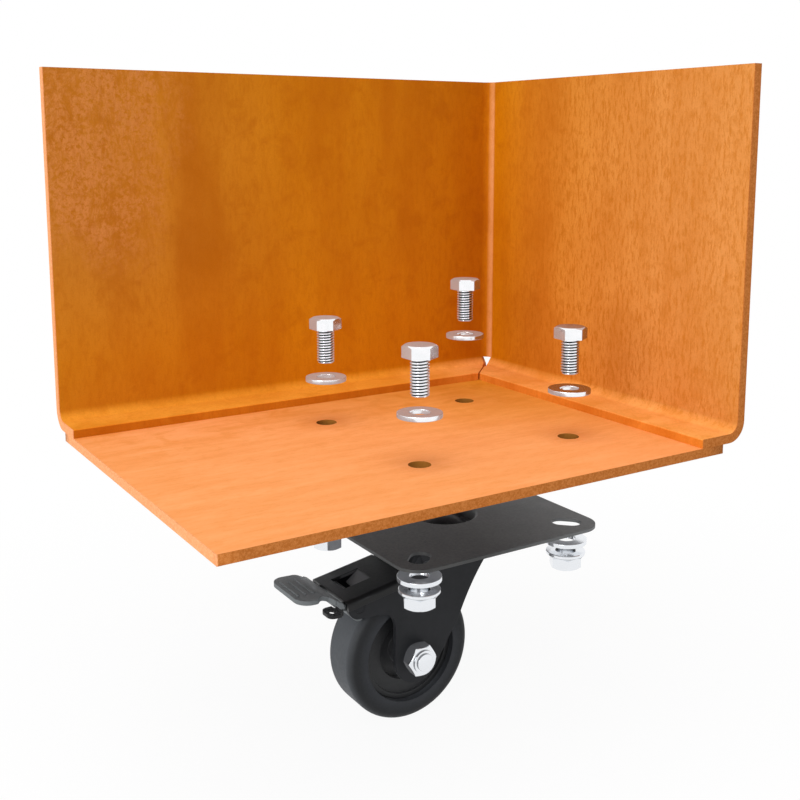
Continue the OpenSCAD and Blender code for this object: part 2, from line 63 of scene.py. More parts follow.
def as_mesh(shape, name):
    """Turns worked geometry into a mesh."""
    mesh = bpy.data.meshes.new(name)
    shape.to_mesh(mesh)
    shape.free()
    return mesh


def settled(thing, material):
    """Applies the modifiers of an object and gives it its material."""
    graph = bpy.context.evaluated_depsgraph_get()
    mesh = bpy.data.meshes.new_from_object(
        thing.evaluated_get(graph), preserve_all_data_layers=True, depsgraph=graph)
    thing.modifiers.clear()
    thing.data = mesh
    mesh.name = thing.name
    mesh.materials.clear()
    mesh.materials.append(material)
    return thing


def flatten_faces(thing):
    """Lets the large faces set the normals, so that flats look flat."""
    weigh = thing.modifiers.new("flat_faces", "WEIGHTED_NORMAL")
    weigh.weight = 90
    return weigh


def round_edges(thing, edge_r):
    """Rolls the sharp edges of an object with a small radius and keeps its flats flat."""
    thing.data.shade_smooth()
    bevel = thing.modifiers.new("rolled_edges", "BEVEL")
    bevel.width = edge_r
    bevel.segments = 2
    bevel.limit_method = "ANGLE"
    bevel.angle_limit = math.radians(28)
    bevel.use_clamp_overlap = True
    bevel.harden_normals = False
    weld = thing.modifiers.new("welded_slivers", "WELD")
    weld.merge_threshold = same_point
    flatten_faces(thing).keep_sharp = True


def edged_copy(node, name, edge_r, material):
    """A copy of a CAD node with rolled edges, in its own place."""
    shape = bmesh.new()
    shape.from_mesh(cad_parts[node].data)
    bmesh.ops.remove_doubles(shape, verts=shape.verts, dist=same_point)
    bmesh.ops.dissolve_limit(
        shape, angle_limit=math.radians(0.4), verts=shape.verts, edges=shape.edges)
    thing = new_object(name, as_mesh(shape, name))
    round_edges(thing, edge_r)
    return settled(thing, material)


def stand_for(thing, body, node):
    """Says what a finished piece rides on and stands for."""
    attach(thing, body)
    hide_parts(node)


def dress(node, name, edge_r, material, body):
    """Lets a copy of a CAD node, with rolled edges and a material, stand for it."""
    stand_for(edged_copy(node, name, edge_r, material), body, node)


def feed(tree, socket, value):
    """Sets an input of a shader or geometry node; a value that is a socket is linked."""
    if isinstance(value, bpy.types.NodeSocket):
        tree.links.new(value, socket)
    else:
        socket.default_value = value


def add(tree, kind, inputs=None, **settings):
    """A new shader or geometry node with its settings and inputs."""
    made = tree.nodes.new(kind)
    for key, value in settings.items():
        setattr(made, key, value)
    for key, value in (inputs or {}).items():
        feed(tree, made.inputs[key], value)
    return made


def shade(red, green, blue):
    """A colour as the eye reads it on a screen, 0 to 255, as linear light."""
    parts = [v / 255 for v in (red, green, blue)]
    return [v / 12.92 if v <= 0.04045 else ((v + 0.055) / 1.055) ** 2.4 for v in parts] + [1]


def new_material(name, **values):
    """A material with one Principled shader; returns it, its tree and the shader."""
    material = bpy.data.materials.new(name)
    material.use_nodes = True
    tree = material.node_tree
    shader = tree.nodes["Principled BSDF"]
    for key, value in values.items():
        shader.inputs[key.replace("_", " ")].default_value = value
    return material, tree, shader


def new_group(name, inputs, outputs):
    """An empty shader node group with named sockets, and its two end nodes."""
    group = bpy.data.node_groups.new(name, "ShaderNodeTree")
    for socket, kind, value in inputs:
        made = group.interface.new_socket(
            socket, in_out="INPUT", socket_type="NodeSocket" + kind)
        if value is not None:
            made.default_value = value
    for socket, kind in outputs:
        group.interface.new_socket(socket, in_out="OUTPUT", socket_type="NodeSocket" + kind)
    return group, group.nodes.new("NodeGroupInput").outputs, group.nodes.new("NodeGroupOutput")


def place_group(tree, group, inputs):
    """Puts a node group into a material with its own values, and returns its outputs."""
    made = tree.nodes.new("ShaderNodeGroup")
    made.node_tree = group
    for key, value in inputs.items():
        feed(tree, made.inputs[key], value)
    return made.outputs


def object_place(tree):
    """Where a point lies in the part, since every piece has its origin at the part's."""
    return add(tree, "ShaderNodeTexCoord").outputs["Object"]


def axes(tree, place):
    """The X, Y and Z of a place."""
    return add(tree, "ShaderNodeSeparateXYZ", {0: place}).outputs


def stretched(tree, place, scale):
    """A place scaled along the axes: a pattern on it runs long where the scale is small."""
    return add(tree, "ShaderNodeMapping", {"Vector": place, "Scale": scale}).outputs["Vector"]


def worked_out(tree, operation, *terms):
    """The result of one step of arithmetic."""
    return add(tree, "ShaderNodeMath", dict(enumerate(terms)), operation=operation).outputs[0]


def product(tree, one, other):
    return worked_out(tree, "MULTIPLY", one, other)


def blend_colour(tree, factor, one, other, how="MIX"):
    """Mixes two colours; how is the blend type."""
    made = add(tree, "ShaderNodeMix", {0: factor, 6: one, 7: other},
               data_type="RGBA", blend_type=how)
    return made.outputs[2]


def span(tree, value, low, high, to_low=0.0, to_high=1.0):
    """Maps a value from one range to another, clamped."""
    return add(tree, "ShaderNodeMapRange", {
        "Value": value, "From Min": low, "From Max": high, "To Min": to_low, "To Max": to_high,
    }).outputs["Result"]


def between(tree, value, low, high, soft):
    """One inside a range and zero outside it, with a soft step within each end."""
    return product(tree, span(tree, value, low, low + soft),
                   span(tree, value, high, high - soft))


def noise(tree, place, scale, detail=3.0, rough=0.55, warp=0.0):
    """A grey cloud pattern; scale is about the number of clouds in a metre."""
    return add(tree, "ShaderNodeTexNoise", {
        "Vector": place, "Scale": scale, "Detail": detail, "Roughness": rough,
        "Distortion": warp}).outputs["Fac"]


# Rust: soft clouds, long bands, worn speckle, short streaks and a fine grain, over a base colour
rust, given, taken = new_group("rust_patina", [
    ("Place", "Vector", None), ("Long Place", "Vector", None), ("Fine Place", "Vector", None),
    ("Base", "Color", (0.5, 0.2, 0.05, 1)), ("Clouds", "Float", 0.5), ("Bands", "Float", 0.5),
    ("Worn", "Float", 0.0), ("Streaks", "Float", 0.0), ("Grain", "Float", 0.1),
], [("Color", "Color"), ("Height", "Float"), ("Roughness", "Float")])
deep = blend_colour(rust, 1.0, given["Base"], (0.84, 0.74, 0.4, 1), "MULTIPLY")
pale = blend_colour(rust, 1.0, given["Base"], (1.12, 1.28, 1.6, 1), "MULTIPLY")
spots = blend_colour(rust, 0.6, given["Base"], shade(206, 134, 76))

clouds = span(rust, noise(rust, given["Place"], 17, 5, 0.6, warp=0.5), 0.36, 0.64)
bands = span(rust, noise(rust, given["Long Place"], 38, 4, warp=0.2), 0.36, 0.68)
blots = span(rust, noise(rust, given["Place"], 75, 4, 0.65, warp=0.6), 0.52, 0.68)
tone = blend_colour(rust, product(rust, clouds, given["Clouds"]), given["Base"], deep)
tone = blend_colour(rust, product(rust, bands, given["Bands"]), tone, pale)
blotted = product(rust, blots, product(rust, given["Clouds"], 0.7))
tone = blend_colour(rust, blotted, tone, deep)

speck = span(rust, noise(rust, given["Place"], 480, 4, 0.75, warp=0.3), 0.38, 0.54)
flattened = stretched(rust, given["Place"], (1, 1, 0.6))
lumps = span(rust, noise(rust, flattened, 130, 5, 0.75, warp=0.5), 0.36, 0.52)
crust = product(rust, speck, lumps)
marks = product(rust, crust, given["Worn"])
pits = product(rust, span(rust, crust, 0.8, 0), product(rust, given["Worn"], 0.35))
tone = blend_colour(rust, marks, tone, spots)
tone = blend_colour(rust, pits, tone, deep)

dashes = span(rust, noise(rust, given["Fine Place"], 520, 4, 0.75), 0.47, 0.62)
tone = blend_colour(rust, product(rust, dashes, given["Streaks"]), tone, deep)
grain = noise(rust, given["Place"], 1300, 2, 0.6)
shift = product(rust, worked_out(rust, "SUBTRACT", grain, 0.5), given["Grain"])
tone = add(rust, "ShaderNodeVectorMath", {
    0: tone, "Scale": worked_out(rust, "ADD", shift, 1.0)}, operation="SCALE").outputs["Vector"]
rust.links.new(tone, taken.inputs["Color"])
rust.links.new(worked_out(rust, "ADD", grain, marks), taken.inputs["Height"])
rust.links.new(span(rust, clouds, 0, 1, 0.74, 0.86), taken.inputs["Roughness"])


grey_in_mirrors = 0.9


def plain_in_mirrors(tree, tone, grey, thrown=0.0):
    """Shows a colour as mostly grey to mirrors and, as far as thrown says, in the light it
    throws on others, so that zinc and black coats beside rust stay neutral."""
    path = add(tree, "ShaderNodeLightPath").outputs
    mirrored = product(tree, path["Is Glossy Ray"], grey_in_mirrors)
    share = worked_out(tree, "MAXIMUM", mirrored, product(tree, path["Is Diffuse Ray"], thrown))
    return blend_colour(tree, share, tone, grey)


def rusted(name, paint, off_light, long_scale, **amounts):
    """A material of bare rusted sheet. The paint adds what depends on the place, and off_light
    gives the grey of its reflection and how far its thrown light goes towards that grey."""
    material, tree, shader = new_material(name, Specular_IOR_Level=0.06)
    place = object_place(tree)
    base, more, finish = paint(tree, place)
    fine_scale = [0.3 if v < 1 else 1 for v in long_scale]    # streaks run as the bands do
    out = place_group(tree, rust, {
        "Place": place, "Long Place": stretched(tree, place, long_scale),
        "Fine Place": stretched(tree, place, fine_scale), "Base": base, **amounts, **more})
    tone = plain_in_mirrors(tree, finish(out["Color"]), *off_light(tree, place))
    tree.links.new(tone, shader.inputs["Base Color"])
    tree.links.new(out["Roughness"], shader.inputs["Roughness"])
    bump = add(tree, "ShaderNodeBump", {
        "Height": out["Height"], "Strength": 0.3, "Distance": 0.1 * MM})
    tree.links.new(bump.outputs["Normal"], shader.inputs["Normal"])
    return material


wall_low, wall_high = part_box("corner_sheet")
sheet_t = 4 * MM
bend_r = 5 * MM
inner_x, inner_y = wall_high.x - sheet_t, wall_high.y - sheet_t
flange_z = wall_low.z + sheet_t


def cut_faces(tree, place, tone):
    """Saw cuts: the left end painted pale, as lit, and the front painted brown, as in shade, and
    finely speckled.
    """
    at = axes(tree, place)
    speck = span(tree, noise(tree, place, 1100, rough=0.8), 0.4, 0.6)
    brown = blend_colour(tree, speck, shade(170, 97, 38), shade(192, 119, 60))
    pale = blend_colour(tree, speck, shade(232, 152, 100), shade(240, 168, 118))
    for across, cut, colour in ((at["Y"], wall_low.y, brown), (at["X"], wall_low.x, pale)):
        on_cut = span(tree, across, cut + 0.5 * MM, cut + 0.3 * MM)
        tone = blend_colour(tree, on_cut, tone, colour)
    return tone


def wall_paint(tree, place):
    """Painted shade darkens both walls towards the corner, and painted light brightens the lower
    back wall. The side wall is paler. The flange tops are painted paler, as lit from above, than
    their upright front faces, and a painted highlight runs up the inside of the bend. The upper
    left of the back wall is speckled, and the side wall has short streaks."""
    at = axes(tree, place)
    back = blend_colour(tree, span(tree, at["X"], -100 * MM, 0),
                        shade(181, 107, 28), shade(191, 111, 10))
    # Painted light: the lower part of the back wall is painted brighter
    lower_light = span(tree, at["Z"], 210 * MM, 160 * MM, 0, 0.6)
    back = blend_colour(tree, lower_light, back, shade(202, 118, 4))
    # Painted shade: the back wall is painted darker towards the corner
    corner_shade = span(tree, at["X"], 60 * MM, 110 * MM)
    back = blend_colour(tree, corner_shade, back, shade(177, 94, 1))
    # Painted shade: the side wall is painted darker towards the corner
    side = blend_colour(tree, span(tree, at["Y"], 80 * MM, -60 * MM),
                        shade(193, 112, 1), shade(207, 133, 64))
    on_side = span(tree, at["X"], inner_x - 2.5 * MM, inner_x - 0.5 * MM)
    base = blend_colour(tree, on_side, back, side)

    # Painted highlight: a paler stripe up the inside of the bend
    bend_highlight = product(
        tree, between(tree, at["X"], inner_x - 1.7 * MM, inner_x + 2 * MM, 1.4 * MM),
        between(tree, at["Y"], inner_y - bend_r, inner_y + 1 * MM, 1 * MM))
    base = blend_colour(tree, product(tree, bend_highlight, 0.8), base, shade(218, 146, 92))

    # Painted light and shade: flange tops paler, as lit from above, their upright front faces
    # darker
    to_side = span(tree, at["X"], 50 * MM, 110 * MM)
    flange = blend_colour(tree, to_side, shade(238, 152, 46), shade(248, 164, 84))
    edge = blend_colour(tree, to_side, shade(196, 108, 18), shade(222, 128, 44))
    base = blend_colour(tree, span(tree, at["Z"], flange_z + 4 * MM, flange_z), base, flange)
    below_top = span(tree, at["Z"], flange_z - 0.2 * MM, flange_z - 0.5 * MM)
    base = blend_colour(tree, below_top, base, edge)

    ragged = noise(tree, stretched(tree, place, (1, 1, 0.5)), 22, 5, 0.65)
    ragged = product(tree, ragged, 120 * MM)
    leftward = span(tree, worked_out(tree, "ADD", at["X"], ragged), 0, -30 * MM)
    upward = span(tree, worked_out(tree, "ADD", at["Z"], ragged), 260 * MM, 290 * MM)
    wear_and_painted_light = worked_out(tree, "MAXIMUM", product(tree, leftward, upward), 0.03)
    streaked = product(tree, on_side, span(tree, at["Y"], 85 * MM, 35 * MM))
    return base, {"Worn": wear_and_painted_light, "Streaks": span(tree, streaked, 0, 1, 0.32, 0.8)}, (
        lambda tone: cut_faces(tree, place, tone))


def wall_light(tree, place):
    """The walls mirror as light grey, and the lower half of the side wall as brown."""
    at = axes(tree, place)
    low_side = product(tree, span(tree, at["X"], inner_x - 4 * MM, inner_x - 1 * MM),
                       span(tree, at["Z"], 205 * MM, 195 * MM))
    thrown = 0.05
    return blend_colour(tree, low_side, shade(190, 181, 180), shade(136, 82, 36)), thrown


sheet_steel = rusted("weathering_steel", wall_paint, wall_light, long_scale=(1, 1, 0.22),
                     Clouds=0.7, Bands=0.9, Grain=0.22)
dress("corner_sheet", "wall_sheet", 0.4 * MM, sheet_steel, "planter")


# ---- Base plate ------------------------------------------------------------------------------
# A flat plate of the same steel under the flanges, drilled for the four caster bolts. Its rust
# is younger and paler, in streaks along the rolling direction.

plate_low, plate_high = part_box("base_plate")
washer_low, washer_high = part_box("top_washers")
washer_d = 19 * MM
bolt_pitch = washer_high.x - washer_low.x - washer_d
swivel_x = (washer_low.x + washer_high.x) / 2
swivel_y = (washer_low.y + washer_high.y) / 2
hole_r = 4.75 * MM
hole_centres = [(swivel_x + sx * bolt_pitch / 2, swivel_y + sy * bolt_pitch / 2)
                for sx in (-1, 1) for sy in (-1, 1)]
ring_points = 48
side_points = 24
edge_steps = 3


def ring(radius, height, centre=(0, 0), turn=0.0, count=ring_points):
    """Points round a circle, the first one turned from the X axis."""
    angles = [2 * math.pi * i / count + turn for i in range(count)]
    return [(centre[0] + radius * math.cos(angle), centre[1] + radius * math.sin(angle), height)
            for angle in angles]


def square_loop(low, high, inset, height):
    """Points round a rectangle, inset on all sides."""
    corners = [(low.x + inset, low.y + inset), (high.x - inset, low.y + inset),
               (high.x - inset, high.y - inset), (low.x + inset, high.y - inset)]
    return [(ax + (bx - ax) * i / side_points, ay + (by - ay) * i / side_points, height)
            for (ax, ay), (bx, by) in zip(corners, corners[1:] + corners[:1])
            for i in range(side_points)]


def drilled_plate(name, low, high, edge_r):
    """A rectangular plate with round holes, all its edges broken by a small radius."""
    shape = bmesh.new()
    profile = [(edge_r * (1 - math.sin(a)), edge_r * (1 - math.cos(a)))
               for a in (math.pi / 2 * i / edge_steps for i in range(edge_steps + 1))]
    side = [(inset, low.z + drop) for drop, inset in reversed(profile)]
    side += [(inset, high.z - drop) for drop, inset in profile]
    loops = [[square_loop(low, high, inset, height) for inset, height in side]]
    loops += [[ring(hole_r + inset, height, centre) for inset, height in side]
              for centre in hole_centres]
    for end in (0, -1):
        edges = []
        for rings in loops:
            verts = [shape.verts.new(p) for p in rings[end]]
            rings[end] = verts
            edges += [shape.edges.new((a, b)) for a, b in zip(verts, verts[1:] + verts[:1])]
        bmesh.ops.triangle_fill(shape, use_beauty=True, edges=edges)
    for rings in loops:
        between_ends = [[shape.verts.new(p) for p in points] for points in rings[1:-1]]
        rows = [rings[0], *between_ends, rings[-1]]
        for near, far in zip(rows, rows[1:]):
            for i in range(len(near)):
                j = (i + 1) % len(near)
                shape.faces.new((near[i], near[j], far[j], far[i]))
    bmesh.ops.recalc_face_normals(shape, faces=shape.faces)
    mesh = as_mesh(shape, name)
    mesh.shade_smooth()
    return mesh


def plate_paint(tree, place):
    """Deeper orange towards the corner, and brown in the drilled holes, painted darker as shade.
    """
    at = axes(tree, place)
    wave = product(tree, noise(tree, place, 20), 50 * MM)
    along = worked_out(tree, "ADD", worked_out(tree, "ADD", at["X"], at["Y"]), wave)
    base = blend_colour(tree, span(tree, along, 20 * MM, 210 * MM),
                        shade(250, 163, 97), shade(214, 138, 14))

    def finish(tone):
        """Browns the holes, painted darker as shade: folded over both middle lines, the four lie
        on one spot.
        """
        offsets = {}
        for key, (axis, middle) in enumerate((("X", swivel_x), ("Y", swivel_y))):
            away = worked_out(tree, "ABSOLUTE", worked_out(tree, "SUBTRACT", at[axis], middle))
            offsets[key] = worked_out(tree, "SUBTRACT", away, bolt_pitch / 2)
        flat = add(tree, "ShaderNodeCombineXYZ", offsets).outputs[0]
        away = add(tree, "ShaderNodeVectorMath", {0: flat}, operation="LENGTH").outputs["Value"]
        # Painted shade: the walls of the holes are painted darker brown
        inside = span(tree, away, hole_r + 0.12 * MM, hole_r + 0.04 * MM)
        tone = blend_colour(tree, inside, tone, shade(150, 96, 36))
        return cut_faces(tree, place, tone)

    clouded = span(tree, at["Y"], -20 * MM, 70 * MM, 0.1, 0.9)
    return base, {"Clouds": clouded}, finish


def under_plate(tree, place):
    """The underside lights the caster, and does so in plain grey."""
    thrown = span(tree, axes(tree, place)["Z"],
                  plate_high.z - 1 * MM, plate_low.z + 1 * MM, 0.05, 0.95)
    return shade(176, 172, 174), thrown


plate_steel = rusted("base_steel", plate_paint, under_plate, long_scale=(0.8, 4, 4),
                     Bands=0.5, Worn=0.04, Streaks=0.22, Grain=0.1)
mesh = drilled_plate("floor_plate", plate_low, plate_high, edge_r=0.15 * MM)
plate = new_object("floor_plate", mesh)
flatten_faces(plate)
stand_for(settled(plate, plate_steel), "planter", "base_plate")


# ---- Upper washers ---------------------------------------------------------------------------
# Flat washers of bright zinc plated steel, punched, that go between bolt heads and base plate:
# three stand over their holes, and the fourth is drawn up higher in the planter's corner.

washer_t = washer_high.z - washer_low.z
washer_bore_d = 8.6 * MM
washer_edge_r = 0.2 * MM
washer_points = 72

# Below the base plate the zinc is painted a little greyer, as shade. A value on each point says
# how deep it lies in painted shade, as in a thread or a bore: the zinc starts to darken at the
# threshold below and is black at 1.
shade_starts = 0.72
zinc, tree, shader = new_material("bright_zinc", Metallic=1.0)
place = object_place(tree)
cloud = span(tree, noise(tree, place, 260), 0.35, 0.65)
tone = blend_colour(tree, cloud, shade(252, 252, 254), shade(247, 248, 250))
below_plate = span(tree, axes(tree, place)["Z"], 120 * MM, 100 * MM)
tone = blend_colour(tree, product(tree, below_plate, 0.9), tone, shade(233, 236, 240))
painted_shade = add(tree, "ShaderNodeAttribute", attribute_name="painted_shade").outputs["Fac"]
# Painted shade: the zinc is painted darker towards black where that value is high
tone = blend_colour(tree, span(tree, painted_shade, shade_starts, 1), tone, shade(26, 26, 28))
tree.links.new(tone, shader.inputs["Base Color"])
tree.links.new(span(tree, cloud, 0, 1, 0.13, 0.17), shader.inputs["Roughness"])
brushed = noise(tree, stretched(tree, place, (1, 1, 6)), 900, 2)
bump = add(tree, "ShaderNodeBump", {"Height": brushed, "Strength": 0.02, "Distance": 0.02 * MM})
tree.links.new(bump.outputs["Normal"], shader.inputs["Normal"])

# Copies one piece onto the corners of a square, which is how the caster's bolts stand. The
# corners count 0 to 3, and the last is the one in the planter's corner.
on_bolts = bpy.data.node_groups.new("on_the_bolts", "GeometryNodeTree")
for socket, kind in (("Geometry", "Geometry"), ("Pitch", "Float"), ("Centre", "Vector"),
                     ("First", "Int"), ("Last", "Int"), ("Finish", "Material")):
    on_bolts.interface.new_socket(socket, in_out="INPUT", socket_type="NodeSocket" + kind)
on_bolts.interface.new_socket("Geometry", in_out="OUTPUT", socket_type="NodeSocketGeometry")
given = on_bolts.nodes.new("NodeGroupInput").outputs
square = add(on_bolts, "GeometryNodeMeshGrid", {
    "Size X": given["Pitch"], "Size Y": given["Pitch"], "Vertices X": 2, "Vertices Y": 2})
corners = add(on_bolts, "GeometryNodeSetPosition", {
    "Geometry": square.outputs["Mesh"], "Offset": given["Centre"]})
number = add(on_bolts, "GeometryNodeInputIndex").outputs[0]
from_first = add(on_bolts, "FunctionNodeCompare", {2: number, 3: given["First"]},
                 data_type="INT", operation="GREATER_EQUAL").outputs[0]
to_last = add(on_bolts, "FunctionNodeCompare", {2: number, 3: given["Last"]},
              data_type="INT", operation="LESS_EQUAL").outputs[0]
wanted = add(on_bolts, "FunctionNodeBooleanMath", {0: from_first, 1: to_last},
             operation="AND").outputs[0]
copies = add(on_bolts, "GeometryNodeInstanceOnPoints", {
    "Points": corners.outputs["Geometry"], "Selection": wanted, "Instance": given["Geometry"]})
solid = add(on_bolts, "GeometryNodeRealizeInstances", {"Geometry": copies.outputs["Instances"]})
plated = add(on_bolts, "GeometryNodeSetMaterial", {
    "Geometry": solid.outputs["Geometry"], "Material": given["Finish"]})
on_bolts.links.new(plated.outputs["Geometry"], on_bolts.nodes.new("NodeGroupOutput").inputs[0])


def skinned(name, rings, closed=False):
    """Skins rings of points one after the other, and the last to the first when closed."""
    shape = bmesh.new()
    rows = [[shape.verts.new(p) for p in points] for points in rings]
    for low, high in zip(rows, rows[1:] + rows[:1] if closed else rows[1:]):
        for i in range(len(low)):
            j = (i + 1) % len(low)
            shape.faces.new((low[i], low[j], high[j], high[i]))
    bmesh.ops.remove_doubles(shape, verts=shape.verts, dist=same_point)
    bmesh.ops.recalc_face_normals(shape, faces=shape.faces)
    return as_mesh(shape, name)


def set_on_bolts(name, mesh, body, node, first=0, last=3, edge_r=None):
    """Zinc pieces on the bolts from first to last, standing for a CAD node."""
    thing = new_object(name, mesh)
    if edge_r:
        round_edges(thing, edge_r)
    spread = thing.modifiers.new("on_bolts", "NODES")
    spread.node_group = on_bolts
    sizes = {"Pitch": bolt_pitch, "Centre": (swivel_x, swivel_y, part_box(node)[0].z),
             "First": first, "Last": last, "Finish": zinc}
    for item in on_bolts.interface.items_tree:
        if item.name in sizes:
            spread[item.identifier] = sizes[item.name]
    stand_for(settled(thing, zinc), body, node)


def set_washers(name, body, node, **which):
    """Washers with rolled edges on some of the bolts."""
    outline = ((washer_bore_d / 2, 0), (washer_d / 2, 0),
               (washer_d / 2, washer_t), (washer_bore_d / 2, washer_t))
    rings = [ring(*point, count=washer_points) for point in outline]
    mesh = skinned("washer", rings, closed=True)
    set_on_bolts(name, mesh, body, node, edge_r=washer_edge_r, **which)


set_washers("upper_washers", "top_washers", "top_washers", last=2)
set_washers("corner_washer", "back_washer", "back_washer", first=3)


# ---- Bolts -----------------------------------------------------------------------------------
# M8 hexagon bolts, cold headed, with rolled threads up to the head, bright zinc plated. Three
# stand over their washers, and the fourth with its washer higher in the corner.

bolt_low, bolt_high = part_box("hex_bolts")
bolt_r = 4 * MM
head_h = 5.3 * MM
bolt_len = bolt_high.z - bolt_low.z - head_h
hex_flats = 13 * MM
face_r = hex_flats / 2 * 0.94           # the flat face that turning leaves on a hexagon's end
chamfer = math.tan(math.radians(30))    # and how its turned corners fall away outside that

thread_pitch = 1.25 * MM
thread_root_r = 3.3 * MM
thread_runout = 0.5 * MM
thread_profile = ((0.0, thread_root_r), (0.2, thread_root_r), (0.42, bolt_r), (0.76, bolt_r))


def hex_ring(height_of, turn=0.0):
    """Points round a hexagon, each at the height that its distance from the axis gives."""
    points = []
    for i in range(ring_points):
        angle = 2 * math.pi * i / ring_points
        from_flat = (angle + math.pi / 6) % (math.pi / 3) - math.pi / 6
        radius = hex_flats / 2 / math.cos(from_flat)
        points.append((radius * math.cos(angle + turn), radius * math.sin(angle + turn),
                       height_of(radius)))
    return points


def threaded_shank():
    """A screw thread that runs out at both ends, where it is still open. Each row climbs one
    pitch round the shank, and its end meets the start of the same row one turn on."""
    shape = bmesh.new()
    rows = []
    for turn in range(-1, int(bolt_len / thread_pitch) + 2):
        for part, radius in thread_profile:
            row = []
            for i in range(ring_points):
                height = (turn + part + i / ring_points) * thread_pitch
                height = min(max(height, 0), bolt_len)
                ease = min(height / thread_runout, (bolt_len - height) / thread_runout, 1)
                here = thread_root_r + (radius - thread_root_r) * ease
                angle = 2 * math.pi * i / ring_points
                row.append(shape.verts.new(
                    (here * math.cos(angle), here * math.sin(angle), height)))
            rows.append(row)
    for index, (near, far) in enumerate(zip(rows, rows[1:])):
        for i in range(ring_points - 1):
            shape.faces.new((near[i], near[i + 1], far[i + 1], far[i]))
        after = index + len(thread_profile)
        if after + 1 < len(rows):
            shape.faces.new((near[-1], rows[after][0], rows[after + 1][0], far[-1]))
    bmesh.ops.remove_doubles(shape, verts=shape.verts, dist=same_point)
    bmesh.ops.dissolve_degenerate(shape, edges=shape.edges, dist=same_point)
    return shape


def close_end(shape, height):
    """Closes the round hole that lies at a height."""
    edges = [edge for edge in shape.edges if edge.is_boundary
             and all(abs(vert.co.z - height) < 0.01 * MM for vert in edge.verts)]
    bmesh.ops.holes_fill(shape, edges=edges, sides=0)


def finished(mesh, painted_shade_of):
    """Keeps the arrises crisp, and marks how deep each point lies in a thread or bore, as
    painted shade.
    """
    mesh.shade_smooth()
    mesh.set_sharp_from_angle(angle=math.radians(26))
    painted_shade = mesh.attributes.new("painted_shade", "FLOAT", "POINT")
    for vert, item in zip(mesh.vertices, painted_shade.data):
        item.value = painted_shade_of(math.hypot(vert.co.x, vert.co.y), vert.co.z)
    return mesh


def bolt_mesh():
    """One bolt, point down on the ground at the origin."""
    top = bolt_len + head_h
    shape = threaded_shank()
    close_end(shape, 0)
    close_end(shape, bolt_len)
    head = skinned("head", [
        ring(0, bolt_len), ring(face_r, bolt_len), hex_ring(lambda radius: bolt_len),
        hex_ring(lambda radius: top - (radius - face_r) * chamfer),
        ring(face_r, top), ring(0, top)])
    shape.from_mesh(head)
    bpy.data.meshes.remove(head)
    bmesh.ops.recalc_face_normals(shape, faces=shape.faces)

    # Painted shade: the thread's roots are painted darker the deeper they lie
    def painted_shade_of(radius, height):
        in_thread = 0.2 * MM < height < bolt_len - 0.1 * MM
        return (bolt_r - radius) / (bolt_r - thread_root_r) if in_thread else 0

    return finished(as_mesh(shape, "bolt"), painted_shade_of)


set_on_bolts("bolts", bolt_mesh(), "bolts", "hex_bolts", last=2)
set_on_bolts("corner_bolt", bolt_mesh(), "back_bolt", "back_bolt", first=3)


# ---- Lower washers ---------------------------------------------------------------------------
# Four of the same washers, below the caster plate. They bridge the slots of the plate, so that
# the nuts can bear on it.

set_washers("lower_washers_zinc", "lower_washers", "lower_washers")


# ---- Flange nuts -----------------------------------------------------------------------------
# Four M8 flange nuts, flange up, cold formed and tapped, bright zinc plated. A short cone joins
# the hexagon to the round flange, and a countersink leads into the bore.

nut_h = 8 * MM
flange_r = 17.9 * MM / 2
flange_t = 1.6 * MM
cone_h = 1.0 * MM
hex_h = nut_h - flange_t - cone_h
hex_top_fall = 0.4                      # slope of the hexagon's corners into the cone
nut_bore_r = bolt_r + 0.05 * MM
sink_w, sink_h = 0.9 * MM, 0.7 * MM
nut_turn = math.radians(30)


def nut_mesh():
    """One nut, hexagon down on the ground at the origin."""
    flange = ((flange_r * 0.97, hex_h + cone_h), (flange_r, hex_h + 1.3 * MM),
              (flange_r, nut_h - 0.25 * MM), (flange_r - 0.3 * MM, nut_h))
    countersink = ((nut_bore_r + sink_w, nut_h), (nut_bore_r + 0.5 * MM, nut_h - 0.3 * MM),
                   (nut_bore_r, nut_h - sink_h))
    rings = [ring(radius, 0, turn=nut_turn) for radius in (nut_bore_r, face_r)]
    rings += [hex_ring(lambda radius: (radius - face_r) * chamfer, nut_turn),
              hex_ring(lambda radius: hex_h - (radius - face_r) * hex_top_fall, nut_turn)]
    rings += [ring(*point, turn=nut_turn) for point in flange + countersink]

    # Painted shade: the bore and a thin line under the flange are painted black, as shadow
    def painted_shade_of(radius, height):
        flange_shadow_line = radius > flange_r * 0.96 and height < hex_h + 1.1 * MM
        bore_shade = radius < nut_bore_r + 0.7 * MM and height > 0.1 * MM
        return 1 if bore_shade or flange_shadow_line else 0

    return finished(skinned("nut", rings, closed=True), painted_shade_of)


set_on_bolts("nuts_zinc", nut_mesh(), "nuts", "flange_nuts")


# ---- Caster plate and swivel head ------------------------------------------------------------
# Pressed steel plate with a cup for the kingpin and four slots, over two ball races, coated
# satin black.

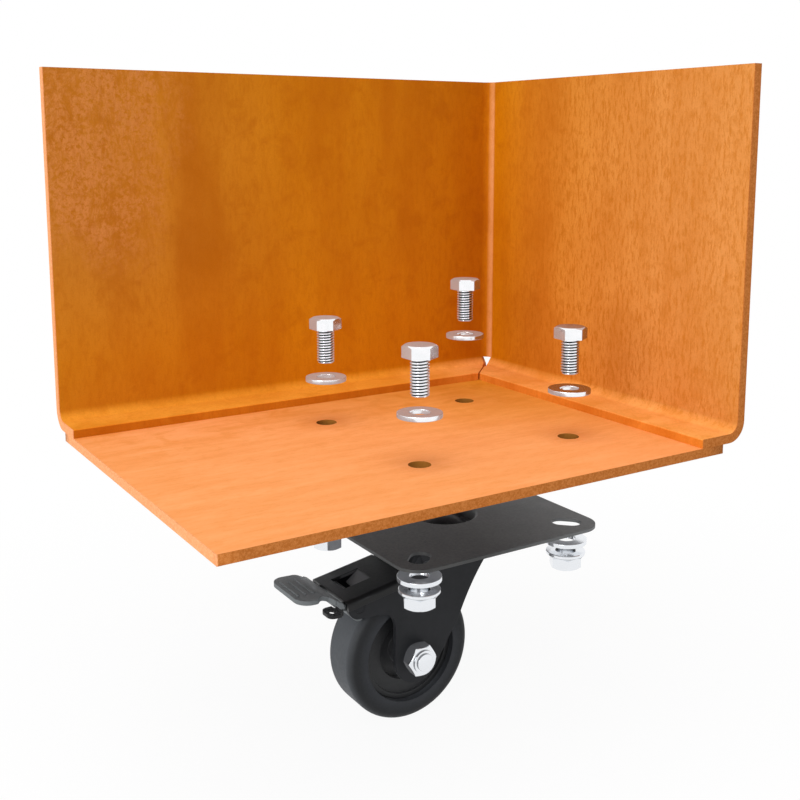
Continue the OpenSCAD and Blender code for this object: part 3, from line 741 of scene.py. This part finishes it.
def coated_steel(name, dark, light, rough, shine, wear_and_painted_light=None):
    """A powder or dip coat: a slightly clouded colour, an uneven skin and rounded arrises. The
    last argument, where given, paints light and shade onto the colour by place."""
    material, tree, shader = new_material(name, Specular_IOR_Level=shine)
    place = object_place(tree)
    cloud = span(tree, noise(tree, place, 70, 4, 0.6), 0.35, 0.65)
    tone = blend_colour(tree, cloud, shade(*dark), shade(*light))
    if wear_and_painted_light:
        tone = wear_and_painted_light(tree, axes(tree, place), tone)
    tone = plain_in_mirrors(tree, tone, shade(165, 165, 168))
    tree.links.new(tone, shader.inputs["Base Color"])
    peel = noise(tree, place, 800, 2)
    tree.links.new(span(tree, peel, 0.3, 0.7, *rough), shader.inputs["Roughness"])
    arris = add(tree, "ShaderNodeBevel", {"Radius": 0.35 * MM}, samples=6).outputs[0]
    bump = add(tree, "ShaderNodeBump", {
        "Height": peel, "Strength": 0.1, "Distance": 0.05 * MM, "Normal": arris})
    tree.links.new(bump.outputs["Normal"], shader.inputs["Normal"])
    return material


def lit_outer_side(tree, at, tone):
    """Painted light: the plate's coat is painted paler towards its outer side."""
    pale = blend_colour(tree, 1.0, tone, (3.1, 3.2, 3.2, 1), "MULTIPLY")
    outward = span(tree, at["X"], swivel_x - 12 * MM, swivel_x + 48 * MM)
    return blend_colour(tree, outward, tone, pale)


plate_coat = coated_steel("plate_coat", (59, 60, 60), (66, 66, 66),
                          rough=(0.42, 0.54), shine=0.4, wear_and_painted_light=lit_outer_side)
fork_coat = coated_steel("fork_coat", (27, 28, 31), (33, 34, 37),
                         rough=(0.42, 0.54), shine=0.2)
dress("caster_plate", "swivel_plate", 0.25 * MM, plate_coat, "caster_mount")
dress("kingpin", "kingpin_rivet", 0.25 * MM, fork_coat, "caster_mount")

# The races, the balls and the wheel's sleeve lie hidden, and keep their CAD shapes
bearing_steel, tree, shader = new_material("oiled_steel", Metallic=1.0)
wiped = span(tree, noise(tree, object_place(tree), 250), 0.3, 0.7)
tree.links.new(blend_colour(tree, wiped, shade(140, 140, 143), shade(162, 162, 164)),
               shader.inputs["Base Color"])
tree.links.new(span(tree, wiped, 0, 1, 0.22, 0.38), shader.inputs["Roughness"])
for node in ("upper_race", "lower_race", "upper_balls", "lower_balls", "wheel_bush"):
    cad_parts[node].data.materials.clear()
    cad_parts[node].data.materials.append(bearing_steel)

moulded = coated_steel("moulded_nylon", (27, 28, 30), (33, 34, 36),
                       rough=(0.42, 0.55), shine=0.4)
dress("dust_ring", "dirt_ring", 0.25 * MM, moulded, "caster_mount")


# ---- Fork ------------------------------------------------------------------------------------
# Pressed from one sheet: a round crown and two swept cheeks with brake arms, coated black. The
# pin that the brake pedal turns on is held between the arms.

dress("fork", "fork_pressing", 0.3 * MM, fork_coat, "swivel")
dress("pedal_pin", "pedal_pivot", 0.3 * MM, fork_coat, "swivel")


# ---- Brake housing ---------------------------------------------------------------------------
# Channel over the brake arms, with a window and a tab lanced down from its front edge, in a
# deeper, glossier black.

housing_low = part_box("brake_housing")[0]
housing_end_z = 66.4 * MM
housing_slope = math.tan(math.radians(9.54))


def lit_tab(tree, at, tone):
    """Painted highlight: the lanced tab below the window is painted grey."""
    top = worked_out(tree, "MULTIPLY_ADD", at["X"], housing_slope,
                     housing_end_z - housing_low.x * housing_slope)
    under = worked_out(tree, "SUBTRACT", top, at["Z"])
    tab_x, tab_y = housing_low.x + 9.5 * MM, housing_low.y + 4.5 * MM
    here = product(tree, span(tree, under, 0.1 * MM, 0.5 * MM),
                   span(tree, at["X"], tab_x, tab_x + 1 * MM))
    here = product(tree, here, span(tree, at["Y"], tab_y, tab_y + 0.2 * MM))
    return blend_colour(tree, product(tree, here, 0.8), tone, shade(84, 84, 86))


housing_coat = coated_steel("housing_coat", (11, 11, 12), (15, 15, 16),
                            rough=(0.3, 0.42), shine=0.3, wear_and_painted_light=lit_tab)
dress("brake_housing", "brake_cover", 0.25 * MM, housing_coat, "swivel")


# ---- Axle bolt and nut -----------------------------------------------------------------------
# A domed bolt through the cheeks and a deeply chamfered nut on its front end, bright zinc. Their
# sides are painted dark, and so is the groove between the two, as shade.

axle_low, axle_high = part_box("axle_nut")
axle_x, axle_z = (axle_low.x + axle_high.x) / 2, (axle_low.z + axle_high.z) / 2
rim_shade = 0.92
groove_shade = 0.85


def dress_on_axle(node, name, edge_r, groove_in, groove_out):
    """A zinc piece on the axle, painted dark, as shade, on the faces that look away from the
    axle and in a groove between two radii."""
    thing = edged_copy(node, name, edge_r, zinc)
    painted_shade = thing.data.attributes.new("painted_shade", "FLOAT", "FACE")
    for face, item in zip(thing.data.polygons, painted_shade.data):
        radius = math.hypot(face.center.x - axle_x, face.center.z - axle_z)
        looks_outward = abs(face.normal.y) < 0.3
        if looks_outward:
            item.value = rim_shade
        elif groove_in < radius < groove_out:
            item.value = groove_shade
    stand_for(thing, "swivel", node)


dress_on_axle("axle_bolt", "axle_screw", 0.12 * MM, groove_in=3.8 * MM, groove_out=4.1 * MM)
dress_on_axle("axle_nut", "axle_hexagon", 0.1 * MM, groove_in=3.9 * MM, groove_out=4.3 * MM)


# ---- Brake pedal -----------------------------------------------------------------------------
# Ribbed foot pad of grey coated sheet on two ears, with a cam that comes down on the tyre and a
# black steel loop under its front.

pedal_coat = coated_steel("pedal_coat", (94, 99, 101), (105, 109, 111),
                          rough=(0.45, 0.58), shine=0.4)
dress("brake_pedal", "foot_pedal", 0.2 * MM, pedal_coat, "pedal")
dress("brake_cam", "pedal_cam", 0.25 * MM, pedal_coat, "pedal")
dress("release_tongue", "release_loop", 0.2 * MM, housing_coat, "pedal")


# ---- Wheel -----------------------------------------------------------------------------------
# Dark blue-grey rubber tyre with rounded shoulders, its tread painted paler than its sides, as
# light, and its sides painted darker out towards the shoulders, as shade, on a black moulded
# centre that turns on a steel sleeve.

tyre_low, tyre_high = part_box("tyre")
tyre_y = (tyre_low.y + tyre_high.y) / 2

rubber, tree, shader = new_material("tyre_rubber", Specular_IOR_Level=0.25)
place = object_place(tree)
at = axes(tree, place)
cloud = span(tree, noise(tree, place, 60, 4), 0.3, 0.7)
tread = blend_colour(tree, cloud, shade(68, 71, 75), shade(77, 80, 84))
wall = blend_colour(tree, cloud, shade(41, 43, 47), shade(48, 50, 54))
spoke = add(tree, "ShaderNodeCombineXYZ", {0: at["X"], 1: at["Z"]}).outputs[0]
spoke = add(tree, "ShaderNodeVectorMath", {0: spoke, 1: (axle_x, axle_z, 0)},
            operation="DISTANCE").outputs["Value"]
# Painted shade: the sides are painted darker out towards the shoulders
shoulder_shade = span(tree, spoke, 24 * MM, 28.5 * MM)
wall = blend_colour(tree, product(tree, shoulder_shade, 0.85), wall, shade(22, 23, 25))
# Painted light: the tread is painted paler than the sides
sideways = worked_out(tree, "ABSOLUTE", worked_out(tree, "SUBTRACT", at["Y"], tyre_y))
tone = blend_colour(tree, span(tree, sideways, 6.5 * MM, 10.4 * MM), tread, wall)
tree.links.new(tone, shader.inputs["Base Color"])
skin = noise(tree, place, 900)
bump = add(tree, "ShaderNodeBump", {"Height": skin, "Strength": 0.15, "Distance": 0.05 * MM})
tree.links.new(bump.outputs["Normal"], shader.inputs["Normal"])
tree.links.new(span(tree, skin, 0.3, 0.7, 0.5, 0.66), shader.inputs["Roughness"])
dress("tyre", "rubber_tyre", 0.2 * MM, rubber, "wheel")
dress("wheel_hub", "wheel_centre", 0.3 * MM, moulded, "wheel")


# ---- Camera, floor and light -----------------------------------------------------------------
# The photograph's viewing angle on a plain white floor, lit mostly from above and the left. The
# floor and the world are white to the eye and in mirrors, and light the part more softly.

camera_data = bpy.data.cameras.new("camera")
camera_data.lens = 48.645
camera_data.sensor_width = 36
camera_data.shift_x = -0.0067
camera_data.shift_y = -0.1125
camera_data.clip_start = 0.01
camera_data.clip_end = 50
camera = new_object("camera", camera_data)
camera.location = (-251.91 * MM, -405.00 * MM, 261.83 * MM)
camera.rotation_euler = (math.radians(90 - 8.896), 0, math.radians(-32.599))
bpy.context.scene.camera = camera


def white_for_eye(tree, seen, lit):
    """Shows one shader to the camera and to mirrors, and lights the rest with the other."""
    path = add(tree, "ShaderNodeLightPath").outputs
    eye = worked_out(tree, "MAXIMUM", path["Is Camera Ray"], path["Is Glossy Ray"])
    eye = worked_out(tree, "MAXIMUM", eye, path["Is Transmission Ray"])
    return add(tree, "ShaderNodeMixShader", {0: eye, 1: lit, 2: seen}).outputs[0]


white = (1, 1, 1, 1)
world = bpy.data.worlds.new("studio")
bpy.context.scene.world = world
world.use_nodes = True
tree = world.node_tree
tree.nodes.clear()
seen = add(tree, "ShaderNodeBackground", {"Color": white, "Strength": 1.0}).outputs[0]
lit = add(tree, "ShaderNodeBackground", {"Color": white, "Strength": 0.5}).outputs[0]
add(tree, "ShaderNodeOutputWorld", {"Surface": white_for_eye(tree, seen, lit)})

floor_half = 4.0
shape = bmesh.new()
bmesh.ops.create_grid(shape, x_segments=1, y_segments=1, size=floor_half)
floor = new_object("floor", as_mesh(shape, "floor"))
floor_paint = bpy.data.materials.new("floor_paint")
floor_paint.use_nodes = True
tree = floor_paint.node_tree
tree.nodes.clear()
matt = add(tree, "ShaderNodeBsdfDiffuse", {"Color": (0.92, 0.92, 0.92, 1)}).outputs[0]
glow = add(tree, "ShaderNodeEmission", {"Color": white, "Strength": 1.0}).outputs[0]
reach = add(tree, "ShaderNodeVectorMath", {0: object_place(tree)},
            operation="LENGTH").outputs["Value"]
glowing = span(tree, reach, 150 * MM, 400 * MM, 0.93, 1.0)
soft = add(tree, "ShaderNodeMixShader", {0: glowing, 1: matt, 2: glow}).outputs[0]
add(tree, "ShaderNodeOutputMaterial", {"Surface": white_for_eye(tree, soft, matt)})
floor.data.materials.append(floor_paint)

part_middle = (0, 0, 0.15)


def lamp(name, place, size, power):
    """A round lamp that shines at the middle of the part; place and size are in metres."""
    data = bpy.data.lights.new(name, "AREA")
    data.shape = "DISK"
    data.size = size
    data.energy = power
    thing = new_object(name, data)
    thing.location = place
    aim = Vector(part_middle) - Vector(place)
    thing.rotation_euler = aim.to_track_quat("-Z", "Y").to_euler()


lamp("top_lamp", (-0.4, -0.3, 2.0), size=2.2, power=21)
lamp("left_lamp", (-1.9, -0.9, 0.6), size=1.4, power=26)

bpy.context.scene.view_settings.view_transform = "Standard"
